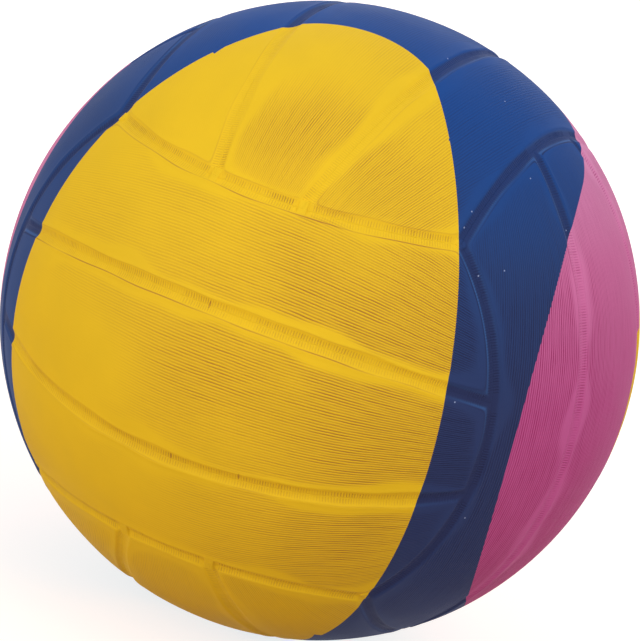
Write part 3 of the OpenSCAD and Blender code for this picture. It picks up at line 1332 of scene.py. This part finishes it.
def turned(name: str, profile: Array, turns: int) -> bpy.types.Object:
    """Turns a closed outline round the valve's axis, which is the Y axis.

    A point at radius r and height h goes to (r cos t, h, r sin t) at each angle t. Points at radius
    nought close the ends of the form.

    Args:
        name: The piece's name.
        profile: The outline as rows of radius and height, with the solid on its left.
        turns: Steps in a full turn.

    Returns:
        The new object.
    """
    skin = Skin()
    angle = np.arange(turns) * (2 * math.pi / turns)
    radius, height = profile.T
    hub = radius == 0
    wheel = [np.outer(radius, np.cos(angle)), np.repeat(height[:, None], turns, axis=1),
             np.outer(radius, np.sin(angle))]
    ids = skin.add_points(np.stack(wheel, axis=-1))
    ids[hub] = ids[hub][:, :1]
    closed = np.concatenate([ids, ids[:, :1]], axis=1)
    if not hub.any():
        closed = np.concatenate([closed, closed[:1]])
    quads = grid_quads(closed)
    start, end = quads[:, 0] == quads[:, 3], quads[:, 1] == quads[:, 2]
    for faces in (quads[~start & ~end], quads[start & ~end][:, [0, 1, 2]],
                  quads[end & ~start][:, [0, 1, 3]]):
        if len(faces):
            skin.add_faces(faces)
    return new_object(name, skin.mesh(name))


def rounded_outline(corners: Sequence[Point], steps: int = 6) -> Array:
    """Rounds the corners of an outline.

    Args:
        corners: Radius, height and how far the rounding starts from the corner, for each corner.
        steps: How many points a rounded corner gets, less one.

    Returns:
        The outline as rows of radius and height. A rounded corner is the curve
        (1-t)^2 a + 2t(1-t) c + t^2 b from a before the corner c to b after it.
    """
    rows: list[Array] = []
    places = np.array([corner[:2] for corner in corners])
    share = np.linspace(0, 1, steps + 1)[:, None]
    for k, (_, _, cut) in enumerate(corners):
        here, before, after = places[k], places[k - 1], places[(k + 1) % len(corners)]
        if cut <= 0:
            rows.append(here[None])
            continue
        start = here + (before - here) * cut / np.linalg.norm(before - here)
        end = here + (after - here) * cut / np.linalg.norm(after - here)
        rows.append((1 - share) ** 2 * start + 2 * share * (1 - share) * here + share**2 * end)
    return np.concatenate(rows)


def stepped(edge: float, top: float, outward: int, rows: Sequence[Point]) -> list[Point]:
    """Places an outline's corners by their steps from an edge.

    Args:
        edge: The edge's radius.
        top: The height from which the steps go down.
        outward: 1 where they go out from the edge, and -1 where they go in.
        rows: Step to the side, step down and rounding of each corner, in mm.

    Returns:
        Radius, height and rounding of each corner.
    """
    return [(edge + outward * side * MM, top - down * MM, cut * MM) for side, down, cut in rows]


@dataclass
class Valve:
    """The valve in the back: the collar in the cover and the core that pulls out of the housing.

    The tables of an outline hold each corner's step to the side, step down and rounding, in mm.
    """

    ball_radius: float
    collar_low: float
    collar_outer: float
    head_radius: float
    stem_bottom: float
    head_gap: float = 0.06 * MM
    head_lift: float = 0.01 * MM
    head_rise: float = 0.05 * MM
    head_sink: float = 0.05 * MM
    stem_radius: float = 3.0 * MM
    needle_radius: float = 1.1 * MM
    needle_depth: float = 12 * MM
    needle_tip: float = 0.4 * MM
    needle_rounding: float = 0.3 * MM
    stem_rounding: float = 0.5 * MM
    turns: int = 96
    collar_rim: tuple[Point, ...] = (
        (0.0, 0.25, 0.0), (0.25, 0.05, 0.12), (0.9, 0.0, 0.2), (1.3, 0.22, 0.12))
    collar_bevel: tuple[Point, ...] = ((0.45, 0.22, 0.12), (0.1, 0.5, 0.1), (0.0, 0.7, 0.0))
    head_rim: tuple[Point, ...] = ((0.0, 0.1, 0.2), (0.5, 0.0, 0.2), (1.0, 0.18, 0.15))
    head_dish: tuple[Point, ...] = (
        (0.9, 0.22, 0.2), (0.55, 0.02, 0.12), (0.25, 0.02, 0.12), (0.0, 0.35, 0.1))
    stem_ring: tuple[Point, ...] = (
        (0.0, 0.0, 0.15), (0.25, -0.45, 0.15), (0.25, -0.9, 0.15), (0.0, -1.35, 0.15))
    ring_places: Pair = (5 * MM, 11 * MM)

    @classmethod
    def from_frame(cls) -> "Valve":
        """Reads the valve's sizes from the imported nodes."""
        collar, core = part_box("valve_collar"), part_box("valve_core")
        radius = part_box("top_middle_panel")[1].z
        return cls(radius, collar[0].y, collar[1].x, core[1].x, core[0].y)

    def collar(self) -> bpy.types.Object:
        """The ring round the valve: a low rim outside and a bevel down to the core's head.

        Returns:
            The new object.
        """
        inside, outside = self.head_radius + self.head_gap, self.collar_outer
        top = math.sqrt(self.ball_radius**2 - outside**2)
        return turned("valve_collar_ring", rounded_outline([
            (inside, self.collar_low, 0.0),
            (outside, self.collar_low, 0.0),
            *stepped(outside, top, -1, self.collar_rim),
            *stepped(inside, top, 1, self.collar_bevel),
        ]), self.turns)

    def core(self) -> bpy.types.Object:
        """The plug: a stem with two shallow rings, and a dished head round the needle hole.

        Returns:
            The new object.
        """
        head, stem, hole = self.head_radius, self.stem_radius, self.needle_radius
        bottom = self.stem_bottom
        top = math.sqrt(self.ball_radius**2 - head**2) - self.head_sink
        neck = self.collar_low + self.head_lift
        low, hole_bottom = neck + self.head_rise, neck - self.needle_depth
        return turned("valve_core_plug", rounded_outline([
            (0.0, bottom, 0.0),
            (stem, bottom, self.stem_rounding),
            *(corner for place in self.ring_places
              for corner in stepped(stem, bottom + place, -1, self.stem_ring)),
            (stem, low, 0.0),
            (head, low, 0.0),
            *stepped(head, top, -1, self.head_rim),
            *stepped(hole, top, 1, self.head_dish),
            (hole, hole_bottom, self.needle_rounding),
            (0.0, hole_bottom - self.needle_tip, 0.0),
        ]), self.turns)

    def build(self, painted: bpy.types.Material, black: bpy.types.Material,
              butyl: bpy.types.Material) -> None:
        """Builds the valve and dresses it.

        Args:
            painted: The finish of the collar.
            black: The finish of the core.
            butyl: The finish of the housing.
        """
        for piece, node, body, slot, material in (
                (self.collar(), "valve_collar", "ball", "yellow_cover", painted),
                (self.core(), "valve_core", "valve_core", "valve_rubber", black)):
            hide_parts(node)
            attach(piece, body)
            piece.data.materials.append(material)
            LOG.info("%s: %d faces", piece.name, len(piece.data.polygons))
        dress_node("valve_housing", butyl)


def dress_node(name: str, material: bpy.types.Material) -> None:
    """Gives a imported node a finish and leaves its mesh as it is.

    Args:
        name: The node.
        material: Its finish.
    """
    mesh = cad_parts[name].data
    mesh.materials.clear()
    mesh.materials.append(material)
    LOG.info("%s: dressed", name)


@dataclass(frozen=True)
class InnerLayers:
    """What lies under the cover."""

    natural: PlainRubber = PlainRubber(
        "natural_rubber", linear(206, 186, 146), linear(176, 150, 108), 0.6)
    thread: WoundThread = WoundThread()

    def dress(self, butyl: bpy.types.Material) -> None:
        """Dresses the carcass, the winding, the bladder and the balance patch."""
        dress_node("carcass", self.natural.material())
        dress_node("thread_winding", self.thread.material())
        for name in ("bladder", "balance_patch"):
            dress_node(name, butyl)


def face_centre(body: bpy.types.Object, axes: Array, distance: float) -> None:
    """Stands a lamp or the camera off the ball, with its face to the ball's centre.

    Args:
        body: The lamp or the camera.
        axes: Columns: its right, its up, and the direction in which it stands off.
        distance: How far it stands from the ball's centre.
    """
    matrix = np.eye(4)
    matrix[:3, :3] = axes
    matrix[:3, 3] = axes[:, 2] * distance
    body.matrix_world = Matrix(matrix.tolist())


@dataclass(frozen=True)
class View:
    """The photograph's camera, in the ball's axes: where it stands and how it is turned."""

    up: Point = (-0.3423, 0.1882, 0.9205)
    back: Point = (0.3242, -0.8959, 0.3037)
    distance_in_radii: float = 14.78
    half_frame: float = 320.0
    ball_in_frame: float = 320.3
    clip: Pair = (0.01, 50.0)

    def axes(self) -> Array:
        """Columns: right, up and towards the camera, made square to each other."""
        back = np.array(self.back) / np.linalg.norm(self.back)
        right = np.cross(self.up, back)
        right /= np.linalg.norm(right)
        return np.stack([right, np.cross(back, right), back], axis=1)

    def place_camera(self, ball_radius: float) -> None:
        """Sets the scene's camera so that the ball fills the frame as it does in the photograph."""
        camera = bpy.data.cameras.new("camera")
        ball_tangent = 1 / math.sqrt(self.distance_in_radii**2 - 1)
        camera.sensor_fit = "HORIZONTAL"
        camera.lens = camera.sensor_width / 2 * self.ball_in_frame / self.half_frame / ball_tangent
        camera.clip_start, camera.clip_end = self.clip
        body = new_object("camera", camera)
        face_centre(body, self.axes(), self.distance_in_radii * ball_radius)
        bpy.context.scene.camera = body


@dataclass(frozen=True)
class Lamp:
    """A square soft box that looks at the ball, placed in the photograph's own directions."""

    name: str
    towards: Point
    distance: float
    size: float
    power: float

    def hang(self, view: View) -> None:
        """Hangs the lamp with its face to the ball's centre."""
        out = view.axes() @ np.array(self.towards)
        out /= np.linalg.norm(out)
        side = np.cross((0.0, 0.0, 1.0), out)
        side /= np.linalg.norm(side)
        light = bpy.data.lights.new(self.name, "AREA")
        light.shape, light.size, light.energy = "SQUARE", self.size, self.power
        axes = np.stack([side, np.cross(out, side), out], axis=1)
        face_centre(new_object(self.name, light), axes, self.distance)


@dataclass(frozen=True)
class Studio:
    """A white floor and surround, soft boxes and the camera."""

    view: View = View()
    lamps: tuple[Lamp, ...] = (
        Lamp("key_lamp", (0.22, 1.00, 0.28), 1.4, 1.2, 2.7),
        Lamp("front_lamp", (0.05, -0.05, 1.00), 2.2, 1.4, 6.8),
        Lamp("back_lamp", (0.10, 0.80, -1.00), 2.2, 1.2, 4.5),
        Lamp("left_lamp", (-0.88, 0.04, 0.60), 1.8, 1.2, 15.2),
        Lamp("right_lamp", (0.66, 0.30, 0.68), 1.8, 1.2, 8.2),
    )
    surround: float = 0.55
    surround_tint: Colour = (1.0, 0.98, 0.97, 1.0)
    white: Colour = (1.0, 1.0, 1.0, 1.0)
    floor_radius: float = 6.0
    floor_sides: int = 96
    floor_colour: Colour = (0.50, 0.35, 0.27, 1.0)
    glow_colour: Colour = (0.93, 0.98, 1.0, 1.0)
    glow_places: Pair = (0.12, 0.50)
    glow: Pair = (0.80, 1.0)

    def seen_directly(self, wiring: Wiring) -> Socket:
        """1 for what the camera sees, also in a mirror or through glass, and 0 for other light."""
        path = wiring.node("LightPath").outputs
        return wiring.math("MAXIMUM", path["Is Camera Ray"], wiring.math(
            "MAXIMUM", path["Is Glossy Ray"], path["Is Transmission Ray"]))

    def build(self, ball_radius: float) -> None:
        """Builds the floor, the surround, the lamps and the camera."""
        self.view.place_camera(ball_radius)
        for lamp in self.lamps:
            lamp.hang(self.view)
        self.lay_floor(-ball_radius)
        self.light_surround()

    def lay_floor(self, height: float) -> None:
        """Lays a round floor under the ball.

        Where the camera sees it, it glows, up to white far off.

        Args:
            height: The floor's height.
        """
        angle = np.linspace(0, 2 * math.pi, self.floor_sides + 1)[:-1]
        rim = np.stack([self.floor_radius * np.cos(angle), self.floor_radius * np.sin(angle),
                        np.full(self.floor_sides, height)], axis=1)
        mesh = bpy.data.meshes.new("floor")
        mesh.from_pydata(rim.tolist(), [], [list(range(self.floor_sides))])
        floor = new_object("floor", mesh)
        floor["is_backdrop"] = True
        material, wiring, shader = new_finish("floor_white", roughness=1.0, specular=0.0)
        glow = wiring.span(wiring.measured("LENGTH", wiring.place()), *self.glow_places, *self.glow)
        wiring.fill(shader, {
            "Base Color": self.floor_colour,
            "Emission Color": self.glow_colour,
            "Emission Strength": wiring.product(self.seen_directly(wiring), glow),
        })
        mesh.materials.append(material)

    def light_surround(self) -> None:
        """Lights the scene evenly from all sides, and shows white where the camera sees past it."""
        world = bpy.data.worlds.new("surround")
        bpy.context.scene.world = world
        world.use_nodes = True
        wiring = Wiring(world.node_tree)
        seen = self.seen_directly(wiring)
        wiring.fill(world.node_tree.nodes["Background"], {
            "Color": wiring.blend(seen, self.surround_tint, self.white),
            "Strength": wiring.span(seen, 0.0, 1.0, self.surround, 1.0),
        })


def write_sizes(cad_box: object) -> None:
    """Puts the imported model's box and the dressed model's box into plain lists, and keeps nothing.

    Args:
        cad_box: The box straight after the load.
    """

    def plain(value: object) -> object:
        """The same value in plain lists of numbers."""
        if isinstance(value, (int, float, np.floating)):
            return float(value)
        return [plain(part) for part in value]

    {"cad": plain(cad_box), "visual": plain(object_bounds())}


def main() -> None:
    """Builds the ball's pieces in order, dresses them and sets up the studio."""
    logging.basicConfig(level=logging.INFO, format="%(name)s: %(message)s")
    bpy.context.scene.view_settings.view_transform = "Standard"
    cad_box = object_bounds()
    valve = Valve.from_frame()
    cover = Cover(CoverRelief(valve.ball_radius))
    cover.build()
    painted = PaintedRubber().material()
    cover.dress(painted)
    butyl = PlainRubber("butyl_rubber", linear(44, 44, 46), linear(26, 26, 28), 0.5).material()
    black = PlainRubber("valve_rubber", linear(46, 46, 48), linear(34, 34, 36), 0.42,
                        grain=0.25 * MM)
    valve.build(painted, black.material(), butyl)
    InnerLayers().dress(butyl)
    Studio().build(valve.ball_radius)
    write_sizes(cad_box)


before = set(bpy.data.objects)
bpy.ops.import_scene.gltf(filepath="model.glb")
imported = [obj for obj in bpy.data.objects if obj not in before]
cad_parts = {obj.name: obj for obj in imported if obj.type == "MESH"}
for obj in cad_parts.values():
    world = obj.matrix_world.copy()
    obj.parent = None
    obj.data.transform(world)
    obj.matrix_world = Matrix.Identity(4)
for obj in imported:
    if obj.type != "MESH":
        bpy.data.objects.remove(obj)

if __name__ == "__main__":
    main()
